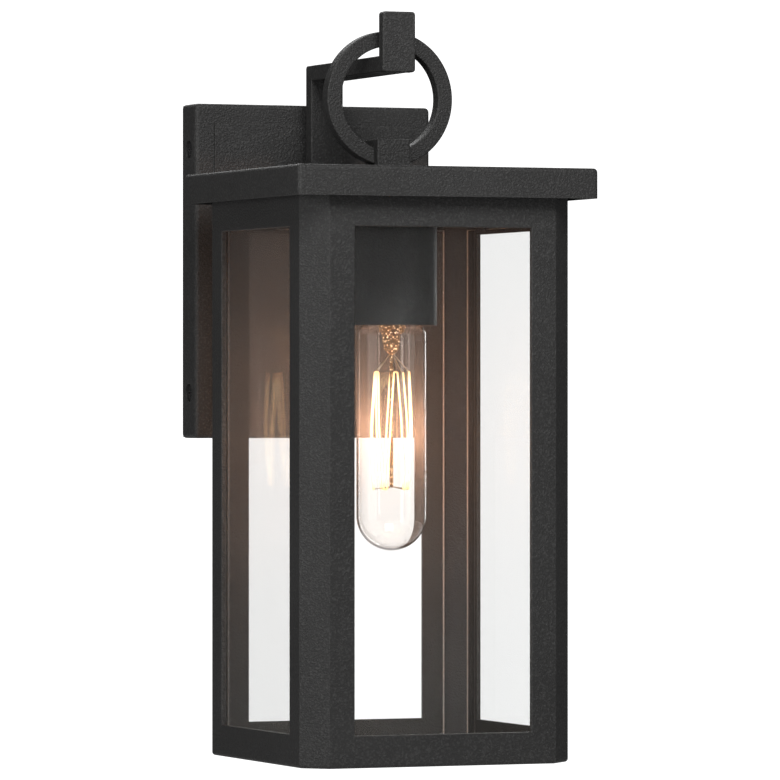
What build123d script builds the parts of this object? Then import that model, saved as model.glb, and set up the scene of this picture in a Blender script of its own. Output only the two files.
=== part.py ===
from build123d import *
import math
import os

os.makedirs("parts", exist_ok=True)

# Outdoor wall lantern, in millimetres.  The origin is the centre of the mounting bracket's
# back, on the wall.  +Y points into the wall, -Y to the front, +X to the right, +Z up.

# ---- wall canopy, the plate that covers the junction box ----
CANOPY_WIDTH = 114.6
CANOPY_HEIGHT = 151.0
CANOPY_DEPTH = 17.1
CANOPY_WALL = 1.6
CANOPY_EDGE_RADIUS = 2.0
FIELD_MARGIN = 9.0
FIELD_THICKNESS = 1.2
FIELD_CHAMFER = 0.15
GASKET_THICKNESS = 0.8
GASKET_BAND = 4.0
GASKET_INSET = 0.5

# ---- side screws that hold the canopy to the bracket ----
SIDE_SCREW_HEIGHT = 55.0
SIDE_SCREW_DEPTH = 8.5
SIDE_PAD_THICKNESS = 1.6
SIDE_PAD_RADIUS = 6.5
SIDE_RECESS_RADIUS = 4.1
SIDE_RECESS_DEPTH = 2.4
SIDE_SCREW_LENGTH = 6.0

# ---- mounting bracket ----
BRACKET_THICKNESS = 1.6
BRACKET_WIDTH = 96.0
BRACKET_HEIGHT = 128.0
BRACKET_CORNER = 5.0
BRACKET_WINDOW_RADIUS = 28.0
BOX_SCREW_SPACING = 88.9
BOX_SLOT_LENGTH = 14.0
BOX_SLOT_RADIUS = 2.3
EAR_WIDTH = 12.0
EAR_DEPTH = 13.5
EAR_CLEARANCE = 0.4
GROUND_SCREW_X = 30.0
GROUND_SCREW_Z = -50.0
GROUND_HEAD_RADIUS = 4.0
GROUND_HEAD_HEIGHT = 3.0
GROUND_WASHER_RADIUS = 4.6
GROUND_WASHER_HEIGHT = 0.8

# ---- fasteners ----
M4_SHANK = 1.95
M4_TAPPED = 2.0
M4_CLEAR = 2.25
M4_HEAD = 3.7
M4_HEAD_HEIGHT = 1.8
M3_SHANK = 1.45
M3_TAPPED = 1.5
M3_CLEAR = 1.7
M3_HEAD = 2.75
M3_HEAD_HEIGHT = 1.6
# shares of a screw head's height
HEAD_ROUNDING = 0.45
RECESS_DEPTH = 0.55
# shares of its radius
RECESS_LENGTH = 1.25
RECESS_WIDTH = 0.24

# ---- lantern body ----
BODY_Y = -106.6
BODY_WIDTH = 126.0
BODY_BOTTOM = -216.1
BODY_WALL = 2.0
BODY_CHAMFER = 10.1
BODY_EDGE_RADIUS = 0.8
BODY_FOOT_RADIUS = 1.5
WINDOW_HALF = 41.25
WINDOW_BOTTOM = -202.1
WINDOW_TOP = 16.2
WINDOW_EDGE_RADIUS = 0.5

# ---- roof, a shallow lid ----
ROOF_WIDTH = 140.0
ROOF_TOP = 42.25
ROOF_SKIRT = 29.1
ROOF_WALL = 2.0
ROOF_EDGE_RADIUS = 1.8
ROOF_BOSS_SPREAD = 44.0
ROOF_BOSS_RADIUS = 5.0
ROOF_SCREW_LENGTH = 11.0

# ---- top plate, welded across the cage under the roof ----
TOP_PLATE_BOTTOM = 27.25
TOP_PLATE_THICKNESS = 2.0

# ---- neck between the canopy and the body ----
NECK_HALF_WIDTH = 15.0
NECK_BOTTOM = 16.8
NECK_TOP = 28.4
NECK_SCREW_X = 11.2
NECK_TAP_DEPTH = 9.0
NECK_EDGE_RADIUS = 0.8
NECK_REAR_SCREW_LENGTH = 10.5
NECK_FRONT_SCREW_LENGTH = 10.0
WIRE_BORE_RADIUS = 3.2

# ---- support arm, hook plate, ring and roof loop ----
ARM_WIDTH = 15.5
ARM_BACK = -27.0
ARM_THICKNESS = 6.9
ARM_TOP = 92.7
ARM_BEND_RADIUS = 1.5
ARM_EDGE_RADIUS = 0.6
ARM_SCREW_X = 5.4
ARM_TAP_DEPTH = 12.0
ARM_SCREW_LENGTH = 20.0
ARM_SCREW_SINK = 1.8
ARM_COUNTERBORE = 2.95
HOOK_BACK = -114.7
HOOK_THICKNESS = 4.6
HOOK_BOTTOM = 85.5
HOOK_TOP = 112.1
HOOK_CORNER = 1.5
HOOK_EDGE_RADIUS = 0.7
RING_Y = -105.65
RING_Z = 74.4
RING_OUTER = 29.7
RING_INNER = 22.9
RING_THICKNESS = 6.5
RING_EDGE_RADIUS = 0.6
LOOP_DEPTH = 15.0
LOOP_TOP = 56.4
LOOP_TUNNEL_TOP = 53.0
LOOP_TUNNEL_GAP = 0.2
LOOP_TAP_DEPTH = 4.2
LOOP_SCREW_LENGTH = 5.8
LOOP_EDGE_RADIUS = 0.5
SET_SCREW_BITE = 1.5
SET_SCREW_SINK = 0.4
SET_SCREW_KEY_RADIUS = 0.8
SET_SCREW_KEY_DEPTH = 1.2

# ---- glass panes and the clips that hold them ----
GLASS_THICKNESS = 2.0
GLASS_HALF_WIDTH = 51.5
GLASS_BOTTOM = -210.0
GLASS_TOP = 18.6
GLASS_ARRIS = 0.4
CLIP_WIDTH = 10.0
CLIP_THICKNESS = 0.9
CLIP_SPREAD = 34.0
CLIP_LIP = 1.5
CLIP_FOOT = 4.0

# ---- lamp holder ----
LAMP_Y = -109.4
CUP_RADIUS = 20.0
CUP_WALL = 1.2
CUP_BOTTOM = -25.5
NIPPLE_RADIUS = 4.85
NIPPLE_BORE = 3.4
NIPPLE_BOTTOM = 16.0
NIPPLE_TOP = 33.5
NIPPLE_THREAD_RADIUS = 4.9
NUT_HEIGHT = 3.0
NUT_RADIUS = 8.6
SOCKET_RADIUS = 17.2
SOCKET_BOTTOM = -23.5
SOCKET_BODY_TOP = 14.0
SOCKET_BOSS_RADIUS = 8.0
SOCKET_BOSS_TOP = 22.0
SHELL_INNER = 13.35
SHELL_THICKNESS = 0.4
SHELL_CLEARANCE = 0.05
SHELL_BOTTOM = -21.5
SHELL_TOP = 3.0
SOCKET_CAVITY_TOP = 8.0
CONTACT_GAP = 0.3
CONTACT_THICKNESS = 0.6
CONTACT_WIDTH = 6.0
CONTACT_ROOT_X = 10.0
CONTACT_TIP_X = 4.0

# ---- bulb: clear tube, medium screw base ----
BULB_RADIUS = 15.4
BULB_TIP = -124.4
BULB_GLASS = 0.8
BULB_NECK_RADIUS = 11.9
BULB_NECK_TOP = -14.0
BULB_SHOULDER_TOP = -22.8
BULB_SHOULDER_BOTTOM = -30.0
BASE_BOTTOM = -22.6
BASE_TOP = -1.0
BASE_RADIUS = 12.65
BASE_RIDGE = 0.35
BASE_INNER = 12.0
BASE_MOUTH = 9.2
BASE_WALL = 0.4
BASE_PITCH = 3.63
BASE_THREADS = 4
BASE_THREAD_BOTTOM = -19.0
BASE_INSULATOR_RADIUS = 9.5
BASE_INSULATOR_TOP = 2.6
BASE_INSULATOR_TOP_RADIUS = 5.0
BASE_CONTACT_RADIUS = 4.4
BASE_CONTACT_TOP = 4.4
BASE_CONTACT_FILLET = 1.2
# (radius, height) down the glass stem: flare, waist, shelf, pressed end
STEM_PROFILE = [(10.8, -16.0), (10.8, -17.0), (7.0, -21.5), (6.3, -25.0), (6.2, -28.4),
                (4.8, -29.6), (4.1, -33.0), (3.4, -36.2), (1.8, -37.9)]
STEM_TIP = -38.5
ROD_RADIUS = 0.8
ROD_END = -96.8
SUPPORT_RADIUS = 0.22
SUPPORT_ROOT = -37.0
FILAMENT_RADIUS = 0.4
FILAMENT_TOP = -46.0
FILAMENT_BOTTOM = -97.5
FILAMENT_END_SPREAD = 7.9
FILAMENT_BELLY = 9.3
FILAMENT_STRANDS = 10
FILAMENT_FIRST_ANGLE = 65.0
FILAMENT_TURN_WIDTH = 1.6
FILAMENT_TURN_RADIUS = 0.75
FILAMENT_BOW_RADIUS = 150.0

# ---- wires ----
WIRE_RADIUS = 1.1
WIRE_OFFSET = 1.5
WIRE_BEND = 4.0
WIRE_CANOPY_Y = -9.0
WIRE_RISER_Y = -54.0
WIRE_ROOF_Z = 35.9
GROUND_WIRE_RADIUS = 0.8
GROUND_WIRE_BEND = 2.0
GROUND_WIRE_SLANT = 5.0
WIRE_FOLD_X = 14.0
WIRE_FOLD_RISE = 12.0
WIRE_FOLD_DROP = 4.0
WIRE_LAYER_GAP = 1.0
CONNECTOR_X = 34.0
CONNECTOR_TOP = -6.0
CONNECTOR_LENGTH = 20.0
CONNECTOR_RADIUS = 4.6
CONNECTOR_TIP_RADIUS = 2.8
CONNECTOR_RIBS = 8
CONNECTOR_RIB_RADIUS = 3.6
CONNECTOR_RIB_DEPTH = 2.3
CONNECTOR_RIB_WIDTH = 0.9
CONNECTOR_RIB_LENGTH = 12.0
CONNECTOR_RIB_MIDDLE = 9.0
GROUND_CONNECTOR_X = 16.0
GROUND_CONNECTOR_Z = -58.0
GROMMET_RADIUS = 5.5
GROMMET_BORE = 3.4
GROMMET_LIP = 1.6
GROMMET_FLANGE = 1.0

# ---- places that follow from the dimensions above ----
CANOPY_FRONT = -CANOPY_DEPTH - FIELD_THICKNESS
CANOPY_INSIDE = -CANOPY_DEPTH + CANOPY_WALL
EAR_OUTSIDE = CANOPY_WIDTH / 2 - CANOPY_WALL - SIDE_PAD_THICKNESS
BODY_HALF = BODY_WIDTH / 2
BODY_REAR = BODY_Y + BODY_HALF
BODY_INSIDE = BODY_HALF - BODY_WALL
BODY_INNER_CHAMFER = BODY_CHAMFER - BODY_WALL * (2 - math.sqrt(2))
ROOF_INSIDE = ROOF_TOP - ROOF_WALL
TOP_PLATE_TOP = TOP_PLATE_BOTTOM + TOP_PLATE_THICKNESS
NECK_Z = (NECK_BOTTOM + NECK_TOP) / 2
ARM_FRONT = ARM_BACK - ARM_THICKNESS
ARM_Y = ARM_BACK - ARM_THICKNESS / 2
RING_FOOT_Z = RING_Z - (RING_OUTER + RING_INNER) / 2
LOOP_LEG_OFFSET = (LOOP_DEPTH + RING_THICKNESS) / 4
SOCKET_CAVITY = SHELL_INNER + SHELL_THICKNESS + SHELL_CLEARANCE

# how close an edge has to be to a place to count as lying on it
NEAR = 0.05


# ---- helpers ----
def box_between(low, high):
    """Box from its lowest corner to its highest corner."""
    size = [b - a for a, b in zip(low, high)]
    centre = [(a + b) / 2 for a, b in zip(low, high)]
    return Pos(*centre) * Box(*size)


def rod(start, end, radius):
    """Round bar from one point to another."""
    along = Vector(*end) - Vector(*start)
    plane = Plane(origin=start, z_dir=along)
    return plane * Cylinder(radius, along.length, align=(Align.CENTER, Align.CENTER, Align.MIN))


def turned(outline):
    """Solid of revolution about the lamp's axis from (radius, height) points."""
    corners = [(radius, 0, height) for radius, height in outline]
    return Pos(0, LAMP_Y, 0) * revolve(make_face(Polyline(*corners, close=True)), Axis.Z)


def sleeve(outer, inner, bottom, top):
    """Upright tube about the lamp's axis."""
    return turned([(inner, bottom), (outer, bottom), (outer, top), (inner, top)])


def chamfered_prism(half, chamfer_leg, bottom, top):
    """Upright square prism about the body's axis with its four corners cut at 45 degrees."""
    flat = half - chamfer_leg
    outline = [(half, -flat), (half, flat), (flat, half), (-flat, half),
               (-half, flat), (-half, -flat), (-flat, -half), (flat, -half)]
    section = make_face(Polyline(*[(x, y, 0) for x, y in outline], close=True))
    return Pos(0, BODY_Y, bottom) * extrude(section, top - bottom, dir=(0, 0, 1))


def around_body(shape):
    """The shape and its copies turned to the body's other three sides."""
    centre = Pos(0, BODY_Y, 0)
    return [centre * Rot(0, 0, turn) * centre.inverse() * shape for turn in (0, 90, 180, 270)]


def cross_screw(seat, direction, head_radius, head_height, shank_radius, shank_length):
    """Cross-recessed screw: the head's seat, the way it is driven and its sizes."""
    head = Cylinder(head_radius, head_height, align=(Align.CENTER, Align.CENTER, Align.MAX))
    head = fillet(head.edges().sort_by(Axis.Z)[0], head_height * HEAD_ROUNDING)
    slot_length = head_radius * RECESS_LENGTH
    slot_width = head_radius * RECESS_WIDTH
    for length, width in ((slot_length, slot_width), (slot_width, slot_length)):
        head -= Pos(0, 0, -head_height) * Box(length, width, 2 * head_height * RECESS_DEPTH)
    shank = Cylinder(shank_radius, shank_length, align=(Align.CENTER, Align.CENTER, Align.MIN))
    return Plane(origin=seat, z_dir=direction) * (head + shank)


def m4_screw(seat, direction, shank_length):
    return cross_screw(seat, direction, M4_HEAD, M4_HEAD_HEIGHT, M4_SHANK, shank_length)


def m3_screw(seat, direction, shank_length):
    return cross_screw(seat, direction, M3_HEAD, M3_HEAD_HEIGHT, M3_SHANK, shank_length)


def wire(points, radius, bend):
    """Round wire along straight runs joined by tangent arcs of the given radius or radii."""
    path = FilletPolyline(*points, radius=bend)
    section = Plane(origin=path @ 0, z_dir=path % 0) * Circle(radius)
    return sweep(section, path=path)


def save(name, shape):
    """Write one sub-part, whose separate solids may repeat, to its own STEP file."""
    pieces = shape if isinstance(shape, list) else [shape]
    solids = [solid for piece in pieces for solid in piece.solids()]
    part = solids[0] if len(solids) == 1 else Compound(children=solids)
    part.label = name
    export_step(part, f"parts/{name}.step")


# ---- wall side ----
def side_screw_spots():
    """Side (+1 or -1) and height of each of the four canopy screws."""
    return [(side, level) for side in (-1, 1) for level in (-SIDE_SCREW_HEIGHT, SIDE_SCREW_HEIGHT)]


def wall_canopy():
    """Cast pan, open to the wall, with a raised flat field on its front."""
    half_width = CANOPY_WIDTH / 2
    half_height = CANOPY_HEIGHT / 2
    pan = box_between((-half_width, -CANOPY_DEPTH, -half_height),
                      (half_width, -GASKET_THICKNESS, half_height))
    outer_edges = pan.edges().filter_by(Axis.Y) + pan.faces().sort_by(Axis.Y)[0].edges()
    pan = fillet(outer_edges, CANOPY_EDGE_RADIUS)
    pan -= box_between((-half_width + CANOPY_WALL, CANOPY_INSIDE, -half_height + CANOPY_WALL),
                       (half_width - CANOPY_WALL, 0, half_height - CANOPY_WALL))
    field = box_between((-half_width + FIELD_MARGIN, CANOPY_FRONT, -half_height + FIELD_MARGIN),
                        (half_width - FIELD_MARGIN, -CANOPY_DEPTH, half_height - FIELD_MARGIN))
    pan += chamfer(field.faces().sort_by(Axis.Y)[0].edges(), FIELD_CHAMFER)
    for side, level in side_screw_spots():
        outside = (side * half_width, -SIDE_SCREW_DEPTH, level)
        floor = (side * (half_width - SIDE_RECESS_DEPTH), -SIDE_SCREW_DEPTH, level)
        inside = (side * EAR_OUTSIDE, -SIDE_SCREW_DEPTH, level)
        pad_root = (side * (half_width - CANOPY_WALL / 2), -SIDE_SCREW_DEPTH, level)
        pan += rod(pad_root, inside, SIDE_PAD_RADIUS)
        pan -= rod(outside, floor, SIDE_RECESS_RADIUS)
        pan -= rod(outside, inside, M4_CLEAR)
    for x in (-NECK_SCREW_X, NECK_SCREW_X):
        pan -= rod((x, CANOPY_INSIDE, NECK_Z), (x, CANOPY_FRONT, NECK_Z), M4_CLEAR)
    pan -= rod((0, CANOPY_INSIDE, NECK_Z), (0, CANOPY_FRONT, NECK_Z), WIRE_BORE_RADIUS)
    return pan


def canopy_gasket():
    """Flat foam ring on the canopy's rim, notched where the bracket's ears pass."""
    half_width = CANOPY_WIDTH / 2 - GASKET_INSET
    half_height = CANOPY_HEIGHT / 2 - GASKET_INSET
    ring = box_between((-half_width, -GASKET_THICKNESS, -half_height), (half_width, 0, half_height))
    ring -= box_between((-half_width + GASKET_BAND, -GASKET_THICKNESS, -half_height + GASKET_BAND),
                        (half_width - GASKET_BAND, 0, half_height - GASKET_BAND))
    notch_height = EAR_WIDTH + 2 * EAR_CLEARANCE
    notch_outside = EAR_OUTSIDE + EAR_CLEARANCE
    for side, level in side_screw_spots():
        ring -= Pos(side * (notch_outside - GASKET_BAND), 0, level) * Box(2 * GASKET_BAND, 2, notch_height)
    return ring


def mounting_bracket():
    """Steel plate on the junction box, with four ears bent forward for the canopy's screws."""
    half_width = BRACKET_WIDTH / 2
    plate = box_between((-half_width, -BRACKET_THICKNESS, -BRACKET_HEIGHT / 2),
                        (half_width, 0, BRACKET_HEIGHT / 2))
    plate = fillet(plate.edges().filter_by(Axis.Y), BRACKET_CORNER)
    for side, level in side_screw_spots():
        low = level - EAR_WIDTH / 2
        high = level + EAR_WIDTH / 2
        inner, outer = sorted((side * (half_width - BRACKET_CORNER), side * EAR_OUTSIDE))
        plate += box_between((inner, -BRACKET_THICKNESS, low), (outer, 0, high))
        bend, face = sorted((side * (EAR_OUTSIDE - BRACKET_THICKNESS), side * EAR_OUTSIDE))
        plate += box_between((bend, -EAR_DEPTH, low), (face, 0, high))
        plate -= rod((bend, -SIDE_SCREW_DEPTH, level), (face, -SIDE_SCREW_DEPTH, level), M4_TAPPED)
    plate -= rod((0, -BRACKET_THICKNESS, 0), (0, 0, 0), BRACKET_WINDOW_RADIUS)
    slot = SlotOverall(BOX_SLOT_LENGTH, 2 * BOX_SLOT_RADIUS)
    for level in (-BOX_SCREW_SPACING / 2, BOX_SCREW_SPACING / 2):
        upright = Plane(origin=(0, 0, level), x_dir=(0, 0, 1), z_dir=(0, -1, 0))
        plate -= extrude(upright * slot, BRACKET_THICKNESS)
    plate -= rod((GROUND_SCREW_X, 0, GROUND_SCREW_Z),
                 (GROUND_SCREW_X, -BRACKET_THICKNESS, GROUND_SCREW_Z), M4_TAPPED)
    return plate


def canopy_side_screws():
    """Four M4 screws through the canopy's side recesses into the bracket's ears."""
    screws = []
    for side, level in side_screw_spots():
        seat = (side * (CANOPY_WIDTH / 2 - SIDE_RECESS_DEPTH), -SIDE_SCREW_DEPTH, level)
        screws.append(m4_screw(seat, (-side, 0, 0), SIDE_SCREW_LENGTH))
    return screws


def ground_screw():
    """Green hexagon screw that takes the ground wire."""
    seat = Plane(origin=(GROUND_SCREW_X, -BRACKET_THICKNESS, GROUND_SCREW_Z), z_dir=(0, -1, 0))
    washer = extrude(Circle(GROUND_WASHER_RADIUS), GROUND_WASHER_HEIGHT)
    head = extrude(RegularPolygon(GROUND_HEAD_RADIUS, 6), GROUND_HEAD_HEIGHT)
    shank = extrude(Circle(M4_SHANK), -BRACKET_THICKNESS)
    return seat * (washer + head + shank)


# ---- neck and support arm ----
def neck_block():
    """Cast block that carries the body from the canopy and passes the wires."""
    block = box_between((-NECK_HALF_WIDTH, BODY_REAR, NECK_BOTTOM),
                        (NECK_HALF_WIDTH, CANOPY_FRONT, NECK_TOP))
    block = fillet(block.edges().filter_by(Axis.Y), NECK_EDGE_RADIUS)
    block -= rod((0, BODY_REAR, NECK_Z), (0, CANOPY_FRONT, NECK_Z), WIRE_BORE_RADIUS)
    for x in (-NECK_SCREW_X, NECK_SCREW_X):
        block -= rod((x, CANOPY_FRONT, NECK_Z), (x, CANOPY_FRONT - NECK_TAP_DEPTH, NECK_Z), M4_TAPPED)
        block -= rod((x, BODY_REAR, NECK_Z), (x, BODY_REAR + NECK_TAP_DEPTH, NECK_Z), M4_TAPPED)
    for x in (-ARM_SCREW_X, ARM_SCREW_X):
        block -= rod((x, ARM_Y, NECK_BOTTOM), (x, ARM_Y, NECK_TOP), M3_CLEAR)
        block -= rod((x, ARM_Y, NECK_BOTTOM), (x, ARM_Y, NECK_BOTTOM + ARM_SCREW_SINK), ARM_COUNTERBORE)
    return block


def neck_rear_screws():
    """Two screws from inside the canopy into the neck."""
    return [m4_screw((x, CANOPY_INSIDE, NECK_Z), (0, -1, 0), NECK_REAR_SCREW_LENGTH)
            for x in (-NECK_SCREW_X, NECK_SCREW_X)]


def neck_front_screws():
    """Two screws from inside the body into the neck."""
    inside = BODY_REAR - BODY_WALL
    return [m4_screw((x, inside, NECK_Z), (0, 1, 0), NECK_FRONT_SCREW_LENGTH)
            for x in (-NECK_SCREW_X, NECK_SCREW_X)]


def support_arm():
    """Flat bar bent forward at a right angle over the roof."""
    half = ARM_WIDTH / 2
    upright = box_between((-half, ARM_FRONT, NECK_TOP), (half, ARM_BACK, ARM_TOP))
    reach = box_between((-half, HOOK_BACK, ARM_TOP - ARM_THICKNESS), (half, ARM_BACK, ARM_TOP))
    bar = upright + reach
    bend = bar.edges().filter_by(Axis.X).sort_by(lambda edge: edge.center().Y + edge.center().Z)[-1]
    bar = fillet(bend, ARM_BEND_RADIUS)
    long_edges = [edge for edge in bar.edges() if abs(abs(edge.center().X) - half) < 0.01
                  and NECK_TOP + 1 < edge.center().Z and HOOK_BACK + 1 < edge.center().Y]
    bar = fillet(long_edges, ARM_EDGE_RADIUS)
    for x in (-ARM_SCREW_X, ARM_SCREW_X):
        bar -= rod((x, ARM_Y, NECK_TOP), (x, ARM_Y, NECK_TOP + ARM_TAP_DEPTH), M3_TAPPED)
    return bar


def arm_screws():
    """Two screws up through the neck into the arm's foot."""
    seat_z = NECK_BOTTOM + ARM_SCREW_SINK
    return [m3_screw((x, ARM_Y, seat_z), (0, 0, 1), ARM_SCREW_LENGTH) for x in (-ARM_SCREW_X, ARM_SCREW_X)]


def hook_plate():
    """Upright tab welded across the arm's end."""
    half = ARM_WIDTH / 2
    plate = box_between((-half, HOOK_BACK - HOOK_THICKNESS, HOOK_BOTTOM), (half, HOOK_BACK, HOOK_TOP))
    plate = fillet(plate.edges().filter_by(Axis.Y), HOOK_CORNER)
    return fillet(plate.faces().sort_by(Axis.Y)[0].edges(), HOOK_EDGE_RADIUS)


def ring():
    """Flat ring that stands on edge over the roof, round the arm."""
    disc = Cylinder(RING_OUTER, RING_THICKNESS) - Cylinder(RING_INNER, RING_THICKNESS)
    disc = fillet(disc.edges().filter_by(GeomType.CIRCLE), RING_EDGE_RADIUS)
    band = Pos(0, RING_Y, RING_Z) * Rot(90, 0, 0) * disc
    return band - set_screw_hole(RING_Y + RING_THICKNESS / 2 - SET_SCREW_BITE)


def set_screw_hole(end_y):
    """Hole for the set screw, from behind the roof loop forward to the given place."""
    return rod((0, RING_Y + LOOP_DEPTH / 2, RING_FOOT_Z), (0, end_y, RING_FOOT_Z), M3_TAPPED)


def ring_set_screw():
    """Headless screw through the loop's rear leg that pins the ring upright."""
    back = RING_Y + LOOP_DEPTH / 2 - SET_SCREW_SINK
    tip = RING_Y + RING_THICKNESS / 2 - SET_SCREW_BITE
    screw = rod((0, back, RING_FOOT_Z), (0, tip, RING_FOOT_Z), M3_SHANK)
    key = Plane(origin=(0, back, RING_FOOT_Z), z_dir=(0, -1, 0)) * RegularPolygon(SET_SCREW_KEY_RADIUS, 6)
    return screw - extrude(key, SET_SCREW_KEY_DEPTH)


def roof_loop():
    """Inverted U over the ring's foot, screwed to the roof from below."""
    half_width = ARM_WIDTH / 2
    half_depth = LOOP_DEPTH / 2
    loop = box_between((-half_width, RING_Y - half_depth, ROOF_TOP),
                       (half_width, RING_Y + half_depth, LOOP_TOP))
    outer_edges = [edge for edge in loop.edges() if edge.center().Z > ROOF_TOP + 1]
    loop = fillet(outer_edges, LOOP_EDGE_RADIUS)
    gap = RING_THICKNESS / 2 + LOOP_TUNNEL_GAP
    loop -= box_between((-half_width, RING_Y - gap, ROOF_TOP), (half_width, RING_Y + gap, LOOP_TUNNEL_TOP))
    for offset in (-LOOP_LEG_OFFSET, LOOP_LEG_OFFSET):
        y = RING_Y + offset
        loop -= rod((0, y, ROOF_TOP), (0, y, ROOF_TOP + LOOP_TAP_DEPTH), M3_TAPPED)
    return loop - set_screw_hole(RING_Y + gap)


def loop_screws():
    """Two screws up through the roof into the loop's legs."""
    seats = [(0, RING_Y + offset, ROOF_INSIDE) for offset in (-LOOP_LEG_OFFSET, LOOP_LEG_OFFSET)]
    return [m3_screw(seat, (0, 0, 1), LOOP_SCREW_LENGTH) for seat in seats]


# ---- roof and cage ----
def roof_boss_spots():
    spread = (-ROOF_BOSS_SPREAD, ROOF_BOSS_SPREAD)
    return [(x, BODY_Y + y) for x in spread for y in spread]


def roof():
    """Shallow square lid with a skirt and four tapped bosses underneath."""
    half = ROOF_WIDTH / 2
    lid = box_between((-half, BODY_Y - half, ROOF_SKIRT), (half, BODY_Y + half, ROOF_TOP))
    lid = fillet(lid.edges().filter_by(Axis.Z) + lid.faces().sort_by(Axis.Z)[-1].edges(), ROOF_EDGE_RADIUS)
    inner = half - ROOF_WALL
    lid -= box_between((-inner, BODY_Y - inner, ROOF_SKIRT), (inner, BODY_Y + inner, ROOF_INSIDE))
    for x, y in roof_boss_spots():
        lid += rod((x, y, ROOF_TOP - ROOF_WALL / 2), (x, y, TOP_PLATE_TOP), ROOF_BOSS_RADIUS)
        lid -= rod((x, y, TOP_PLATE_TOP), (x, y, ROOF_INSIDE), M4_TAPPED)
    for offset in (-LOOP_LEG_OFFSET, LOOP_LEG_OFFSET):
        lid -= rod((0, RING_Y + offset, ROOF_INSIDE), (0, RING_Y + offset, ROOF_TOP), M3_CLEAR)
    return lid


def roof_screws():
    """Four screws up through the top plate into the roof's bosses."""
    return [m4_screw((x, y, TOP_PLATE_BOTTOM), (0, 0, 1), ROOF_SCREW_LENGTH) for x, y in roof_boss_spots()]


def top_plate():
    """Plate welded inside the cage's top that carries the lamp holder and the roof."""
    plate = chamfered_prism(BODY_INSIDE, BODY_INNER_CHAMFER, TOP_PLATE_BOTTOM, TOP_PLATE_TOP)
    for x, y in roof_boss_spots():
        plate -= rod((x, y, TOP_PLATE_BOTTOM), (x, y, TOP_PLATE_TOP), M4_CLEAR)
    plate -= rod((0, LAMP_Y, TOP_PLATE_BOTTOM), (0, LAMP_Y, TOP_PLATE_TOP), NIPPLE_THREAD_RADIUS)
    return plate - rod((0, WIRE_RISER_Y, TOP_PLATE_BOTTOM), (0, WIRE_RISER_Y, TOP_PLATE_TOP), GROMMET_RADIUS)


def lantern_cage():
    """Square frame with chamfered corners and a window in each of its four sides."""
    cage = chamfered_prism(BODY_HALF, BODY_CHAMFER, BODY_BOTTOM, ROOF_INSIDE)
    cage = fillet(cage.edges().filter_by(Axis.Z), BODY_EDGE_RADIUS)
    cage = fillet(cage.faces().sort_by(Axis.Z)[0].edges(), BODY_FOOT_RADIUS)
    cage -= chamfered_prism(BODY_INSIDE, BODY_INNER_CHAMFER, BODY_BOTTOM, ROOF_INSIDE)
    window = box_between((-WINDOW_HALF, BODY_Y - BODY_HALF - 1, WINDOW_BOTTOM),
                         (WINDOW_HALF, BODY_Y - BODY_INSIDE + 1, WINDOW_TOP))
    for opening in around_body(window):
        cage -= opening
    outside = [edge for edge in cage.edges() if on_window_rim(edge)]
    cage = fillet(outside, WINDOW_EDGE_RADIUS)
    cage -= rod((0, BODY_REAR, NECK_Z), (0, BODY_REAR - BODY_WALL, NECK_Z), WIRE_BORE_RADIUS)
    for x in (-NECK_SCREW_X, NECK_SCREW_X):
        cage -= rod((x, BODY_REAR, NECK_Z), (x, BODY_REAR - BODY_WALL, NECK_Z), M4_CLEAR)
    return cage


def on_window_rim(edge):
    """True for an edge of a window opening on the cage's outer faces."""
    middle = edge.center()
    reach = max(abs(middle.X), abs(middle.Y - BODY_Y))
    across = min(abs(middle.X), abs(middle.Y - BODY_Y))
    inside_rim = WINDOW_BOTTOM - NEAR < middle.Z < WINDOW_TOP + NEAR
    return abs(reach - BODY_HALF) < NEAR and across < WINDOW_HALF + NEAR and inside_rim


# ---- glazing ----
def glass_panes():
    """The four flat panes, in the order front, right, back, left."""
    front = box_between((-GLASS_HALF_WIDTH, BODY_Y - BODY_INSIDE, GLASS_BOTTOM),
                        (GLASS_HALF_WIDTH, BODY_Y - BODY_INSIDE + GLASS_THICKNESS, GLASS_TOP))
    front = chamfer(front.edges(), GLASS_ARRIS)
    return around_body(front)


def glass_clip(x, edge, foot_way):
    """Z-shaped strip on the front wall: foot on the wall, ledge over the pane's edge, lip inside it."""
    wall = BODY_Y - BODY_INSIDE
    ledge = edge + foot_way * CLIP_THICKNESS
    foot_end = ledge + foot_way * CLIP_FOOT
    lip_end = edge - foot_way * CLIP_LIP
    lip_y = wall + GLASS_THICKNESS
    left = x - CLIP_WIDTH / 2
    right = x + CLIP_WIDTH / 2
    foot = box_between((left, wall, min(ledge, foot_end)),
                       (right, wall + CLIP_THICKNESS, max(ledge, foot_end)))
    bridge = box_between((left, wall, min(edge, ledge)), (right, lip_y + CLIP_THICKNESS, max(edge, ledge)))
    lip = box_between((left, lip_y, min(edge, lip_end)), (right, lip_y + CLIP_THICKNESS, max(edge, lip_end)))
    return foot + bridge + lip


def glass_clips(edge, foot_way):
    """Two clips on each side of the body along one edge of the panes."""
    clips = []
    for x in (-CLIP_SPREAD, CLIP_SPREAD):
        clips += around_body(glass_clip(x, edge, foot_way))
    return clips


# ---- lamp holder ----
def socket_cup():
    """Cylindrical cover of the lamp socket, closed on top."""
    return turned([(CUP_RADIUS - CUP_WALL, CUP_BOTTOM), (CUP_RADIUS, CUP_BOTTOM),
                   (CUP_RADIUS, TOP_PLATE_BOTTOM), (NIPPLE_THREAD_RADIUS, TOP_PLATE_BOTTOM),
                   (NIPPLE_THREAD_RADIUS, TOP_PLATE_BOTTOM - CUP_WALL),
                   (CUP_RADIUS - CUP_WALL, TOP_PLATE_BOTTOM - CUP_WALL)])


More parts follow.
